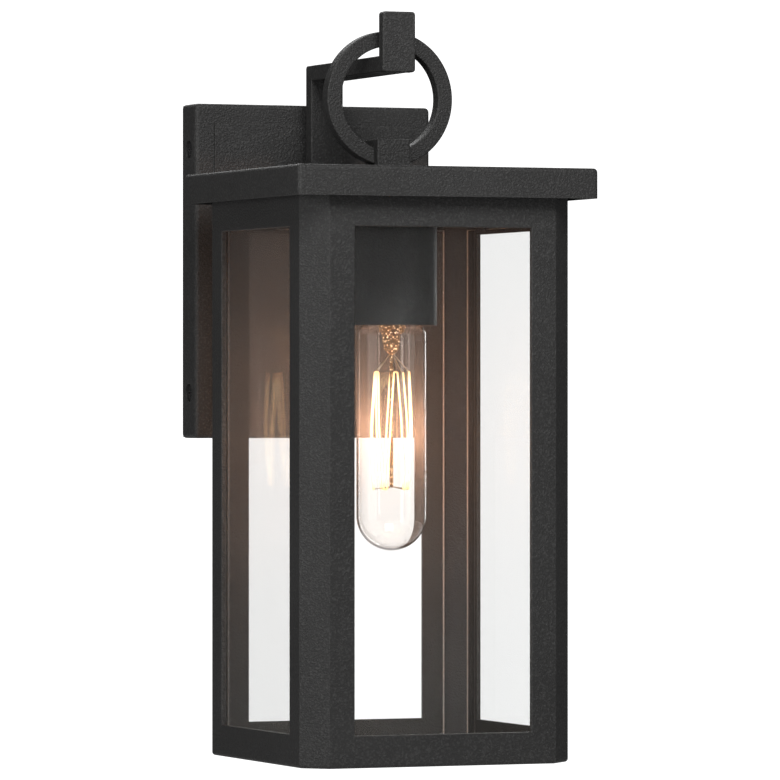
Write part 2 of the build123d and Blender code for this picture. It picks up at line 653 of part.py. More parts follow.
def threaded_nipple():
    """Hollow threaded pipe that holds the cup and the socket to the top plate."""
    return sleeve(NIPPLE_RADIUS, NIPPLE_BORE, NIPPLE_BOTTOM, NIPPLE_TOP)


def nipple_nuts():
    """Lock nuts above the top plate and under the cup's top."""
    nuts = []
    for bottom in (TOP_PLATE_TOP, TOP_PLATE_BOTTOM - CUP_WALL - NUT_HEIGHT):
        nut = extrude(RegularPolygon(NUT_RADIUS, 6) - Circle(NIPPLE_THREAD_RADIUS), NUT_HEIGHT)
        nuts.append(Pos(0, LAMP_Y, bottom) * nut)
    return nuts


def lamp_socket():
    """Moulded insulating socket body with a threaded boss on top."""
    return turned([(SOCKET_CAVITY, SOCKET_BOTTOM), (SOCKET_RADIUS, SOCKET_BOTTOM),
                   (SOCKET_RADIUS, SOCKET_BODY_TOP), (SOCKET_BOSS_RADIUS, SOCKET_BODY_TOP),
                   (SOCKET_BOSS_RADIUS, SOCKET_BOSS_TOP), (NIPPLE_THREAD_RADIUS, SOCKET_BOSS_TOP),
                   (NIPPLE_THREAD_RADIUS, SOCKET_BODY_TOP), (0, SOCKET_BODY_TOP),
                   (0, SOCKET_CAVITY_TOP), (SOCKET_CAVITY, SOCKET_CAVITY_TOP)])


def socket_screw_shell():
    """Thin metal shell that the bulb's base screws into."""
    return sleeve(SHELL_INNER + SHELL_THICKNESS, SHELL_INNER, SHELL_BOTTOM, SHELL_TOP)


def socket_contact():
    """Springy brass tongue over the bulb's centre contact."""
    leaf_z = BASE_CONTACT_TOP + CONTACT_GAP
    near = LAMP_Y - CONTACT_WIDTH / 2
    far = LAMP_Y + CONTACT_WIDTH / 2
    strip = box_between((-CONTACT_ROOT_X, near, SOCKET_CAVITY_TOP - CONTACT_THICKNESS),
                        (CONTACT_ROOT_X, far, SOCKET_CAVITY_TOP))
    riser = box_between((-CONTACT_ROOT_X, near, leaf_z),
                        (-CONTACT_ROOT_X + CONTACT_THICKNESS, far, SOCKET_CAVITY_TOP))
    leaf = box_between((-CONTACT_ROOT_X, near, leaf_z), (CONTACT_TIP_X, far, leaf_z + CONTACT_THICKNESS))
    return strip + riser + leaf


# ---- wiring ----
def supply_wire(side):
    """Insulated wire from its connector in the canopy to the lamp socket."""
    x = side * WIRE_OFFSET
    start_x = side * CONNECTOR_X
    route = [
        (start_x, WIRE_CANOPY_Y, CONNECTOR_TOP),
        (start_x, WIRE_CANOPY_Y, NECK_Z - WIRE_FOLD_DROP),
        (side * WIRE_FOLD_X, WIRE_CANOPY_Y + WIRE_LAYER_GAP, NECK_Z + WIRE_FOLD_RISE),
        (x, WIRE_CANOPY_Y + 2 * WIRE_LAYER_GAP, NECK_Z),
        (x, WIRE_RISER_Y, NECK_Z),
        (x, WIRE_RISER_Y, WIRE_ROOF_Z),
        (x, LAMP_Y, WIRE_ROOF_Z),
        (x, LAMP_Y, SOCKET_BODY_TOP),
    ]
    return wire(route, WIRE_RADIUS, WIRE_BEND)


def ground_wire():
    """Bare copper wire from the green screw's head to its own connector."""
    head_y = -BRACKET_THICKNESS - GROUND_HEAD_HEIGHT
    route = [
        (GROUND_SCREW_X, head_y, GROUND_SCREW_Z),
        (GROUND_SCREW_X, WIRE_CANOPY_Y, GROUND_SCREW_Z),
        (GROUND_SCREW_X - GROUND_WIRE_SLANT, WIRE_CANOPY_Y, GROUND_CONNECTOR_Z),
        (GROUND_CONNECTOR_X, WIRE_CANOPY_Y, GROUND_CONNECTOR_Z),
    ]
    return wire(route, GROUND_WIRE_RADIUS, GROUND_WIRE_BEND)


def twist_connector(mouth, direction):
    """Ribbed plastic cone that joins a wire to the house wiring."""
    cone = Cone(CONNECTOR_RADIUS, CONNECTOR_TIP_RADIUS, CONNECTOR_LENGTH,
                align=(Align.CENTER, Align.CENTER, Align.MIN))
    rib = Box(CONNECTOR_RIB_DEPTH, CONNECTOR_RIB_WIDTH, CONNECTOR_RIB_LENGTH)
    for turn in range(0, 360, 360 // CONNECTOR_RIBS):
        cone += Rot(0, 0, turn) * Pos(CONNECTOR_RIB_RADIUS, 0, CONNECTOR_RIB_MIDDLE) * rib
    return Plane(origin=mouth, z_dir=direction) * cone


def wire_connectors():
    """Three twist-on connectors: hot, neutral and ground."""
    mouths = [((side * CONNECTOR_X, WIRE_CANOPY_Y, CONNECTOR_TOP), (0, 0, -1)) for side in (-1, 1)]
    mouths.append(((GROUND_CONNECTOR_X, WIRE_CANOPY_Y, GROUND_CONNECTOR_Z), (-1, 0, 0)))
    return [twist_connector(mouth, direction) for mouth, direction in mouths]


def wire_grommet():
    """Rubber bush in the top plate where the wires pass up."""
    rim = GROMMET_RADIUS + GROMMET_LIP
    low = TOP_PLATE_BOTTOM - GROMMET_FLANGE
    high = TOP_PLATE_TOP + GROMMET_FLANGE
    bush = turned([(GROMMET_BORE, low), (rim, low), (rim, TOP_PLATE_BOTTOM),
                   (GROMMET_RADIUS, TOP_PLATE_BOTTOM), (GROMMET_RADIUS, TOP_PLATE_TOP),
                   (rim, TOP_PLATE_TOP), (rim, high), (GROMMET_BORE, high)])
    return Pos(0, WIRE_RISER_Y - LAMP_Y, 0) * bush


# ---- bulb ----
def bulb_outline(radius, neck_radius, tip):
    """Half section of the bulb's glass: neck, shoulder, straight tube and round tip."""
    middle = (BULB_SHOULDER_TOP + BULB_SHOULDER_BOTTOM) / 2
    slant = radius * math.sqrt(0.5)
    top = Line((0, 0, BULB_NECK_TOP), (neck_radius, 0, BULB_NECK_TOP))
    neck = Line(top @ 1, (neck_radius, 0, BULB_SHOULDER_TOP))
    shoulder = Bezier(neck @ 1, (neck_radius, 0, middle), (radius, 0, middle),
                      (radius, 0, BULB_SHOULDER_BOTTOM))
    tube = Line(shoulder @ 1, (radius, 0, tip + radius))
    dome = ThreePointArc(tube @ 1, (slant, 0, tip + radius - slant), (0, 0, tip))
    return make_face([top, neck, shoulder, tube, dome, Line(dome @ 1, top @ 0)])


def bulb_envelope():
    """Clear glass envelope, open at the neck where the base is cemented on."""
    outer = revolve(bulb_outline(BULB_RADIUS, BULB_NECK_RADIUS, BULB_TIP), Axis.Z)
    inner = revolve(bulb_outline(BULB_RADIUS - BULB_GLASS, BULB_NECK_RADIUS - BULB_GLASS,
                                 BULB_TIP + BULB_GLASS), Axis.Z)
    return Pos(0, LAMP_Y, 0) * (outer - inner)


def thread_line():
    """Wavy line up the base's thread, one smooth ridge for each turn."""
    steps = 4 * BASE_THREADS
    wave = [(BASE_RADIUS - BASE_RIDGE * math.cos(math.pi * step / 2), 0,
             BASE_THREAD_BOTTOM + step * BASE_PITCH / 4) for step in range(steps + 1)]
    return Spline(*wave, tangents=[(0, 0, 1), (0, 0, 1)])


def bulb_base_shell():
    """Threaded metal shell cemented round the bulb's neck, coned in towards its contact."""
    thread = thread_line()
    outline = Polyline(thread @ 1, (BASE_MOUTH + BASE_WALL, 0, BASE_TOP), (BASE_MOUTH, 0, BASE_TOP),
                       (BASE_INNER, 0, (thread @ 1).Z), (BASE_INNER, 0, BASE_BOTTOM),
                       (BASE_RADIUS - BASE_RIDGE, 0, BASE_BOTTOM), thread @ 0)
    return Pos(0, LAMP_Y, 0) * revolve(make_face([thread, outline]), Axis.Z)


def bulb_base_insulator():
    """Glass cone that keeps the centre contact clear of the shell."""
    return turned([(0, BASE_TOP), (BASE_INSULATOR_RADIUS, BASE_TOP),
                   (BASE_INSULATOR_TOP_RADIUS, BASE_INSULATOR_TOP), (0, BASE_INSULATOR_TOP)])


def bulb_base_contact():
    """Solder button at the base's end."""
    button = turned([(0, BASE_INSULATOR_TOP), (BASE_CONTACT_RADIUS, BASE_INSULATOR_TOP),
                     (BASE_CONTACT_RADIUS, BASE_CONTACT_TOP), (0, BASE_CONTACT_TOP)])
    return fillet(button.edges().filter_by(GeomType.CIRCLE).sort_by(Axis.Z)[-1], BASE_CONTACT_FILLET)


def bulb_stem():
    """Glass stem: flare at the neck, shelf, pressed end and a thin rod down the middle."""
    stem_top = STEM_PROFILE[0][1]
    rod_profile = [(ROD_RADIUS, STEM_TIP), (ROD_RADIUS, ROD_END), (0, ROD_END)]
    return turned([(0, stem_top)] + STEM_PROFILE + rod_profile)


def hook_point(spread, angle, level):
    """Point on a circle about the lamp's axis; the angle is in degrees."""
    turn = math.radians(angle)
    return (spread * math.cos(turn), LAMP_Y + spread * math.sin(turn), level)


def turn_angle(index):
    """Angle about the lamp's axis of one of the filament's ends or turns, or between two for a half."""
    return FILAMENT_FIRST_ANGLE + index * 360 / (FILAMENT_STRANDS + 1)


def filament():
    """Squirrel-cage filament: bowed strands that meet in narrow turns at alternate ends."""
    middle = (FILAMENT_TOP + FILAMENT_BOTTOM) / 2
    half_turn = math.degrees(FILAMENT_TURN_WIDTH / 2 / FILAMENT_END_SPREAD)
    points = []
    for index in range(FILAMENT_STRANDS):
        levels = (FILAMENT_TOP, FILAMENT_BOTTOM) if index % 2 == 0 else (FILAMENT_BOTTOM, FILAMENT_TOP)
        points.append(hook_point(FILAMENT_END_SPREAD, turn_angle(index) + half_turn, levels[0]))
        points.append(hook_point(FILAMENT_BELLY, turn_angle(index + 0.5), middle))
        points.append(hook_point(FILAMENT_END_SPREAD, turn_angle(index + 1) - half_turn, levels[1]))
    bow_and_turns = [FILAMENT_BOW_RADIUS, FILAMENT_TURN_RADIUS, FILAMENT_TURN_RADIUS]
    radii = (bow_and_turns * FILAMENT_STRANDS)[:len(points) - 2]
    return wire(points, FILAMENT_RADIUS, radii)


def support_fan(root, ends):
    """One solid of thin wires from a shared root to each end."""
    fan = rod(root, ends[0], SUPPORT_RADIUS)
    for end in ends[1:]:
        fan += rod(root, end, SUPPORT_RADIUS)
    return fan


def filament_supports():
    """Two lead wires and the hooks that hold the filament's turns, top and bottom."""
    upper = [hook_point(FILAMENT_END_SPREAD, turn_angle(index), FILAMENT_TOP)
             for index in range(0, FILAMENT_STRANDS + 1, 2)]
    lower = [hook_point(FILAMENT_END_SPREAD, turn_angle(index), FILAMENT_BOTTOM)
             for index in range(1, FILAMENT_STRANDS, 2)]
    root = hook_point(0, 0, SUPPORT_ROOT)
    foot = hook_point(0, 0, ROD_END + 2 * SUPPORT_RADIUS)
    return [support_fan(root, upper), support_fan(foot, lower)]


# ---- write every sub-part ----
SUB_PARTS = {
    "wall_canopy": wall_canopy,
    "canopy_gasket": canopy_gasket,
    "mounting_bracket": mounting_bracket,
    "canopy_side_screws": canopy_side_screws,
    "ground_screw": ground_screw,
    "neck_block": neck_block,
    "neck_rear_screws": neck_rear_screws,
    "neck_front_screws": neck_front_screws,
    "support_arm": support_arm,
    "arm_screws": arm_screws,
    "hook_plate": hook_plate,
    "ring": ring,
    "ring_set_screw": ring_set_screw,
    "roof_loop": roof_loop,
    "loop_screws": loop_screws,
    "roof": roof,
    "roof_screws": roof_screws,
    "top_plate": top_plate,
    "lantern_cage": lantern_cage,
    "socket_cup": socket_cup,
    "threaded_nipple": threaded_nipple,
    "nipple_nuts": nipple_nuts,
    "lamp_socket": lamp_socket,
    "socket_screw_shell": socket_screw_shell,
    "socket_contact": socket_contact,
    "wire_grommet": wire_grommet,
    "ground_wire": ground_wire,
    "wire_connectors": wire_connectors,
    "bulb_envelope": bulb_envelope,
    "bulb_base_shell": bulb_base_shell,
    "bulb_base_insulator": bulb_base_insulator,
    "bulb_base_contact": bulb_base_contact,
    "bulb_stem": bulb_stem,
    "filament": filament,
    "filament_supports": filament_supports,
}

for part_name, make in SUB_PARTS.items():
    save(part_name, make())
for part_name, pane in zip(("glass_front", "glass_right", "glass_back", "glass_left"), glass_panes()):
    save(part_name, pane)
save("upper_glass_clips", glass_clips(GLASS_TOP, 1))
save("lower_glass_clips", glass_clips(GLASS_BOTTOM, -1))
save("hot_wire", supply_wire(-1))
save("neutral_wire", supply_wire(1))
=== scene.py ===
"""Looks, light and camera for the outdoor wall lantern.

Lengths are in metres, in the frame of the CAD model.
"""

import math
import random

import bmesh
import bpy
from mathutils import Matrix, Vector


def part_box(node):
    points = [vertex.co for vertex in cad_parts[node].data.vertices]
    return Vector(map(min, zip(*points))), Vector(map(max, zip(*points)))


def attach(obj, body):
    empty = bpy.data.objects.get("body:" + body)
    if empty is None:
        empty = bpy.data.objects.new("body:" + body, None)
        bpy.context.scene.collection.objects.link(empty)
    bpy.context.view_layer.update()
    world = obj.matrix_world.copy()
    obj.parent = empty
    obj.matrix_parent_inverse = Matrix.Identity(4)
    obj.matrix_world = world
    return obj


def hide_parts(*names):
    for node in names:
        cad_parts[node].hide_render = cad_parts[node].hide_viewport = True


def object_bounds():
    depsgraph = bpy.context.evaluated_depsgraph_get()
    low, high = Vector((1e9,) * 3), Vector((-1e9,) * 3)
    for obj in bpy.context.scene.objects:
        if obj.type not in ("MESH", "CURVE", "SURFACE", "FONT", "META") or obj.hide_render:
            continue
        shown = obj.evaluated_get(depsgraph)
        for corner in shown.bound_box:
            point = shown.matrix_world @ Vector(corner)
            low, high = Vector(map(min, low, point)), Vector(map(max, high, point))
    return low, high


MM = 0.001

# ---- camera ----
CAMERA_AZIMUTH = math.radians(-22.32)
CAMERA_ELEVATION = math.radians(-0.127)
CAMERA_DISTANCE = 2.6
CAMERA_LENS = 274.5
SENSOR_WIDTH = 36.0
VIEW_LIMIT = 100.0
AIM_FROM_CAGE_CENTRE = Vector((-6.6, -18.0, 34.0)) * MM

# ---- studio ----
FLOOR_DROP = 1.9
FLOOR_RADIUS = 9.0
FLOOR_CORNERS = 96
PAPER_GRAIN = 20 * MM
BACKDROP_STRENGTH = 1.25
AMBIENT_STRENGTH = 0.05
FLOOR_GLOW = 1.0
FLOOR_DIM = 0.3
WHITE = (1.0, 1.0, 1.0)

# name: azimuth and elevation in degrees, distance, width and height in metres, power in watts
SOFTBOXES = {
    "key_softbox": (-12.0, 42.0, 1.2, 0.6, 0.6, 10.5),
    "side_softbox": (-52.0, 8.0, 0.9, 0.4, 0.4, 1.8),
    "front_card": (43.0, 0.0, 1.5, 0.34, 0.8, 1.1),
    "left_card": (-90.0, 0.0, 1.5, 1.0, 0.8, 2.4),
    "back_softbox": (141.0, 10.0, 1.5, 0.4, 1.0, 8.0),
    "rear_softbox": (170.0, 40.0, 1.5, 0.6, 0.5, 7.0),
}

# ---- patterns ----
# the middle of a noise's range, which is stretched to make a clear pattern
NOISE_LOW = 0.35
NOISE_HIGH = 0.65
NOISE_ROUGHNESS = 0.55
EDGE_SAMPLES = 4
# how far the rounded normal has turned from the flat one where an edge starts and where it is full
EDGE_STARTS = 0.995
EDGE_FULL = 0.9

# ---- powder coat ----
COAT_DARK = (0.0205, 0.0200, 0.0195)
COAT_PALE = (0.0255, 0.0250, 0.0245)
COAT_SPECK = (0.062, 0.061, 0.060)
COAT_RUBBED = (0.062, 0.060, 0.058)
COAT_GRAIN = 0.9 * MM
COAT_GRAIN_DEPTH = 0.45 * MM
COAT_FINE_GRAIN = 0.7 * MM
COAT_FINE_DEPTH = 0.12 * MM
COAT_PATCH = 6 * MM
COAT_CLOUD = 38 * MM
COAT_WEAR_WIDTH = 0.7 * MM

# ---- window glass ----
WINDOW_INDEX = 1.5
WINDOW_TINT = (0.985, 0.990, 0.988)
WINDOW_SHADOW_TINT = (0.93, 0.95, 0.94)
GROUND_EDGE_DARK = (0.46, 0.40, 0.35)
GROUND_EDGE_PALE = (0.70, 0.62, 0.55)
DUST_SPREAD = 0.2
# share of the light that the dust on each pane scatters; the sheltered back pane is the dustiest
PANE_HAZE = {"glass_front": 0.006, "glass_right": 0.006, "glass_back": 0.026, "glass_left": 0.006}

# ---- the pressed glass stem ----
STEM_SEED = 5
# strength of the glow that paints the filament's glints on the stem's folds
STEM_PAINTED_GLINT_STRENGTH = 1.6
STEM_CORNERS = 12
STEM_PINCH = 0.3
STEM_SHIFT = 1.6 * MM
STEM_ROD_RADIUS = 0.8 * MM
STEM_INDEX = 1.56
STEM_FACET = 1.25 * MM
STEM_FACET_DEPTH = 0.5 * MM
# radius, distance below the stem's top, and how crumpled, down from the flare
STEM_RINGS = [
    (10.7 * MM, 0.0, 0.0),
    (10.7 * MM, 1.0 * MM, 0.0),
    (7.0 * MM, 5.5 * MM, 0.2),
    (6.3 * MM, 8.6 * MM, 1.0),
    (6.6 * MM, 10.4 * MM, 1.0),
    (6.2 * MM, 12.3 * MM, 1.0),
    (4.7 * MM, 13.8 * MM, 1.0),
    (4.7 * MM, 15.6 * MM, 1.0),
    (4.4 * MM, 17.4 * MM, 1.0),
    (4.0 * MM, 19.2 * MM, 1.0),
    (3.0 * MM, 20.8 * MM, 1.0),
    (1.5 * MM, 21.9 * MM, 0.4),
    (0.8 * MM, 22.5 * MM, 0.0),
]

# ---- the lit lamp ----
BULB_INDEX = 1.47
LAMP_LIGHT_POWER = 0.54
LAMP_LIGHT_RADIUS = 7.0 * MM
LAMP_LIGHT_COLOUR = (1.0, 0.51, 0.31)
FILAMENT_COLOUR = (1.0, 0.72, 0.38)
FILAMENT_STRENGTH = 3.4
# shares of the filament's height, from its middle, where it starts to cool and where it is dullest
COOLING_STARTS = 0.4
COOLING_ENDS = 0.5
END_HEAT = 0.5
# the light comes from the filament, so neither it nor its supports may shade the bulb
GLOWING_NODES = ("filament", "filament_supports")


# the Mix node's sockets for its share and its two colours, and the one for the mixed colour
MIX_SHARE = 0
MIX_FIRST = 6
MIX_SECOND = 7
MIX_RESULT = 2


def opaque(value):
    """A colour with the full alpha that sockets ask for; anything else comes back as it is."""
    if isinstance(value, tuple):
        return (*value, 1.0)
    return value


class Look:
    """One node material: a Principled shader and short calls for the patterns that drive it."""

    def __init__(self, name):
        self.material = bpy.data.materials.new(name)
        self.material.use_nodes = True
        self.tree = self.material.node_tree
        self.shader = self.tree.nodes["Principled BSDF"]
        self.output = self.tree.nodes["Material Output"]
        self.position = self.node("ShaderNodeTexCoord").outputs["Object"]

    def node(self, kind, **settings):
        made = self.tree.nodes.new(kind)
        for name, value in settings.items():
            setattr(made, name, value)
        return made

    def feed(self, socket, value):
        """Links another node's output to a socket, or sets the socket to a plain value."""
        if isinstance(value, bpy.types.NodeSocket):
            self.tree.links.new(value, socket)
        else:
            socket.default_value = value

    def set(self, **values):
        """Sets or links inputs of the Principled shader; an underscore stands for a space."""
        for name, value in values.items():
            self.feed(self.shader.inputs[name.replace("_", " ")], opaque(value))

    def noise(self, size, detail=3.0, at=None):
        """Soft random pattern with features about that size."""
        made = self.node("ShaderNodeTexNoise")
        self.feed(made.inputs["Vector"], at or self.position)
        made.inputs["Scale"].default_value = 1.0 / size
        made.inputs["Detail"].default_value = detail
        made.inputs["Roughness"].default_value = NOISE_ROUGHNESS
        return made.outputs["Fac"]

    def grains(self, size):
        """Distance from the middle of each of many packed grains."""
        made = self.node("ShaderNodeTexVoronoi")
        self.feed(made.inputs["Vector"], self.position)
        made.inputs["Scale"].default_value = 1.0 / size
        return made.outputs["Distance"]

    def stretched(self, x=1.0, y=1.0, z=1.0):
        """The position with its axes scaled, which draws a pattern out along the small ones."""
        made = self.node("ShaderNodeMapping")
        self.feed(made.inputs["Vector"], self.position)
        made.inputs["Scale"].default_value = (x, y, z)
        return made.outputs["Vector"]

    def axis(self, vector, name):
        """One component of a vector."""
        made = self.node("ShaderNodeSeparateXYZ")
        self.feed(made.inputs["Vector"], vector)
        return made.outputs[name]

    def remap(self, value, low, high, new_low, new_high):
        """Takes low..high to new_low..new_high, and holds it there outside them."""
        made = self.node("ShaderNodeMapRange")
        self.feed(made.inputs["Value"], value)
        made.inputs["From Min"].default_value = low
        made.inputs["From Max"].default_value = high
        made.inputs["To Min"].default_value = new_low
        made.inputs["To Max"].default_value = new_high
        return made.outputs["Result"]

    def share(self, value, low=NOISE_LOW, high=NOISE_HIGH):
        """0 at low and 1 at high, and held there beyond them."""
        return self.remap(value, low, high, 0.0, 1.0)

    def math(self, operation, a, b=0.0):
        made = self.node("ShaderNodeMath", operation=operation)
        self.feed(made.inputs[0], a)
        self.feed(made.inputs[1], b)
        return made.outputs[0]

    def mix(self, share, first, second):
        """A colour that goes from first to second as share goes from 0 to 1."""
        made = self.node("ShaderNodeMix", data_type="RGBA")
        self.feed(made.inputs[MIX_SHARE], share)
        self.feed(made.inputs[MIX_FIRST], opaque(first))
        self.feed(made.inputs[MIX_SECOND], opaque(second))
        return made.outputs[MIX_RESULT]

    def bump(self, height, depth, under=None):
        """A normal from a height pattern of that depth, laid over another bump if one is given."""
        made = self.node("ShaderNodeBump")
        self.feed(made.inputs["Height"], height)
        made.inputs["Distance"].default_value = depth
        if under is not None:
            self.feed(made.inputs["Normal"], under)
        return made.outputs["Normal"]

    def edges(self, radius):
        """1 along the outer and inner edges of the shape, 0 on its flat faces."""
        rounded = self.node("ShaderNodeBevel", samples=EDGE_SAMPLES)
        rounded.inputs["Radius"].default_value = radius
        facing = self.node("ShaderNodeNewGeometry").outputs["Normal"]
        dot = self.node("ShaderNodeVectorMath", operation="DOT_PRODUCT")
        self.feed(dot.inputs[0], rounded.outputs["Normal"])
        self.feed(dot.inputs[1], facing)
        return self.share(dot.outputs["Value"], EDGE_STARTS, EDGE_FULL)

    def lets_lamps_through(self, tint):
        """Rays from lamps pass straight through, so that clear glass casts no dark shadow."""
        clear = self.node("ShaderNodeBsdfTransparent")
        clear.inputs["Color"].default_value = opaque(tint)
        path = self.node("ShaderNodeLightPath")
        chosen = self.node("ShaderNodeMixShader")
        self.feed(chosen.inputs[0], path.outputs["Is Shadow Ray"])
        self.feed(chosen.inputs[1], self.shader.outputs[0])
        self.feed(chosen.inputs[2], clear.outputs[0])
        self.feed(self.output.inputs["Surface"], chosen.outputs[0])


# ---- finishes, one for each material slot of the record ----


def black_powder_coat():
    """Matt black powder coat with a fine sand texture, a little paler where its edges are rubbed."""
    look = Look("black_powder_coat")
    grain = look.noise(COAT_GRAIN, detail=2.0)
    fine = look.grains(COAT_FINE_GRAIN)
    cloud = look.noise(COAT_CLOUD)
    patch = look.noise(COAT_PATCH)
    tone = look.mix(look.share(cloud), COAT_DARK, COAT_PALE)
    speckled = look.mix(look.remap(grain, 0.5, 0.7, 0.0, 0.7), tone, COAT_SPECK)
    rubbed = look.math("MULTIPLY", look.edges(COAT_WEAR_WIDTH), look.remap(patch, 0.38, 0.62, 0.15, 0.75))
    look.set(
        Base_Color=look.mix(rubbed, speckled, COAT_RUBBED),
        Roughness=look.remap(patch, 0.3, 0.7, 0.54, 0.6),
        Normal=look.bump(fine, COAT_FINE_DEPTH, look.bump(grain, COAT_GRAIN_DEPTH)),
    )
    return look.material


def black_zinc():
    """Black passivated steel with fine turning marks and bright scuffs on its edges."""
    look = Look("black_zinc")
    wear = look.remap(look.noise(1.2 * MM), 0.4, 0.6, 0.3, 1.0)
    scuffed = look.math("MULTIPLY", look.edges(0.5 * MM), wear)
    look.set(
        Base_Color=look.mix(scuffed, (0.035, 0.034, 0.036), (0.42, 0.41, 0.4)),
        Metallic=look.remap(scuffed, 0.0, 1.0, 0.6, 1.0),
        Roughness=look.remap(look.noise(0.9 * MM), 0.3, 0.7, 0.3, 0.46),
        Normal=look.bump(look.noise(0.25 * MM), 0.02 * MM),
    )
    return look.material


def plated(name, dark, light, scale=1.0):
    """Plated metal: cloudy colour and fine rolling marks, which dull it here and there."""
    look = Look(name)
    cloud = look.share(look.noise(9 * MM * scale))
    marks = look.noise(0.5 * MM * scale, at=look.stretched(x=0.1))
    look.set(
        Base_Color=look.mix(cloud, dark, light),
        Metallic=1.0,
        Roughness=look.remap(marks, 0.35, 0.65, 0.32, 0.42),
        Normal=look.bump(marks, 0.003 * MM),
    )
    return look.material


def zinc_steel():
    return plated("zinc_steel", (0.50, 0.51, 0.53), (0.66, 0.66, 0.64))


def green_zinc():
    return plated("green_zinc", (0.03, 0.22, 0.08), (0.06, 0.34, 0.13), scale=0.5)


def shell_metal():
    return plated("shell_metal", (0.62, 0.61, 0.59), (0.78, 0.77, 0.75), scale=0.6)


def contact_brass():
    return plated("contact_brass", (0.62, 0.43, 0.16), (0.80, 0.62, 0.30), scale=0.4)


def base_brass():
    return plated("base_brass", (0.64, 0.47, 0.21), (0.83, 0.68, 0.40), scale=0.6)


def molybdenum():
    return plated("molybdenum", (0.42, 0.36, 0.28), (0.62, 0.55, 0.46), scale=0.3)


def solder():
    """Dull tin drop with a frosty skin."""
    look = Look("solder")
    frost = look.noise(0.6 * MM)
    look.set(
        Base_Color=look.mix(look.share(frost, 0.4, 0.6), (0.48, 0.48, 0.49), (0.68, 0.68, 0.67)),
        Metallic=1.0,
        Roughness=look.remap(frost, 0.35, 0.65, 0.3, 0.55),
        Normal=look.bump(frost, 0.04 * MM),
    )
    return look.material


def bare_copper():
    """Stranded copper, darker in the grooves between its strands."""
    look = Look("bare_copper")
    strands = look.noise(0.5 * MM, at=look.stretched(z=0.25))
    look.set(
        Base_Color=look.mix(look.share(strands, 0.4, 0.6), (0.42, 0.17, 0.08), (0.86, 0.46, 0.28)),
        Metallic=1.0,
        Roughness=look.remap(strands, 0.35, 0.65, 0.45, 0.28),
        Normal=look.bump(strands, 0.08 * MM),
    )
    return look.material


def moulded(name, dark, light, smooth, rough, texture_depth):
    """Moulded plastic or rubber: slightly mottled, with a fine tool texture."""
    look = Look(name)
    mottle = look.share(look.noise(4 * MM))
    texture = look.noise(0.4 * MM)
    look.set(
        Base_Color=look.mix(mottle, dark, light),
        Roughness=look.remap(texture, 0.3, 0.7, smooth, rough),
        Normal=look.bump(texture, texture_depth),
    )
    return look.material


def phenolic():
    return moulded("phenolic", (0.030, 0.026, 0.023), (0.046, 0.040, 0.036), 0.3, 0.42, 0.03 * MM)


def soft_rubber():
    return moulded("soft_rubber", (0.020, 0.020, 0.020), (0.034, 0.034, 0.034), 0.65, 0.8, 0.04 * MM)


def black_insulation():
    return moulded("black_insulation", (0.016, 0.016, 0.017), (0.028, 0.028, 0.030), 0.34, 0.46, 0.02 * MM)


def white_insulation():
    return moulded("white_insulation", (0.72, 0.71, 0.68), (0.80, 0.80, 0.77), 0.34, 0.46, 0.02 * MM)


def connector_plastic():
    return moulded("connector_plastic", (0.66, 0.20, 0.03), (0.80, 0.28, 0.05), 0.3, 0.42, 0.03 * MM)


def black_glass():
    return moulded("black_glass", (0.010, 0.010, 0.013), (0.020, 0.019, 0.024), 0.05, 0.12, 0.01 * MM)


def foam_rubber():
    """Closed-cell foam: small open cells along its cut faces."""
    look = Look("foam_rubber")
    cells = look.grains(0.9 * MM)
    look.set(
        Base_Color=look.mix(look.share(cells, 0.1, 0.5), (0.012, 0.012, 0.012), (0.036, 0.036, 0.036)),
        Roughness=look.remap(cells, 0.1, 0.6, 0.95, 0.75),
        Normal=look.bump(cells, 0.25 * MM),
    )
    return look.material


def window_glass(name, across, haze):
    """Float glass with ground edges and a dusty haze; across is the axis through its thickness."""
    look = Look(name)
    facing = look.axis(look.node("ShaderNodeTexCoord").outputs["Normal"], across)
    edge = look.share(look.math("ABSOLUTE", facing), 0.9, 0.6)
    grinding = look.noise(0.5 * MM)
    most_dust = 1.0 + DUST_SPREAD
    least_dust = 1.0 - DUST_SPREAD
    clearness = look.remap(look.noise(45 * MM), 0.3, 0.7, 1.0 - most_dust * haze, 1.0 - least_dust * haze)
    ground = look.mix(look.share(grinding, 0.4, 0.6), GROUND_EDGE_DARK, GROUND_EDGE_PALE)
    look.set(
        Base_Color=look.mix(edge, WINDOW_TINT, ground),
        Roughness=look.math("MULTIPLY", edge, look.remap(grinding, 0.3, 0.7, 0.28, 0.45)),
        Transmission_Weight=look.math("MULTIPLY", clearness, look.remap(edge, 0.0, 1.0, 1.0, 0.35)),
        IOR=WINDOW_INDEX,
        Normal=look.bump(look.math("MULTIPLY", edge, grinding), 0.05 * MM),
    )
    look.lets_lamps_through(WINDOW_SHADOW_TINT)
    return look.material


def bulb_glass():
    """Clear blown glass with slow ripples and a trace of haze, which the lit filament warms."""
    look = Look("bulb_glass")
    ripple = look.noise(14 * MM, detail=1.0, at=look.stretched(z=0.5))
    haze = look.noise(3 * MM)
    look.set(
        Base_Color=(0.99, 0.985, 0.975),
        Roughness=look.remap(haze, 0.4, 0.8, 0.0, 0.03),
        Transmission_Weight=look.remap(haze, 0.3, 0.7, 0.994, 0.988),
        IOR=BULB_INDEX,
        Normal=look.bump(ripple, 0.12 * MM),
    )
    look.lets_lamps_through((0.96, 0.95, 0.94))
    return look.material


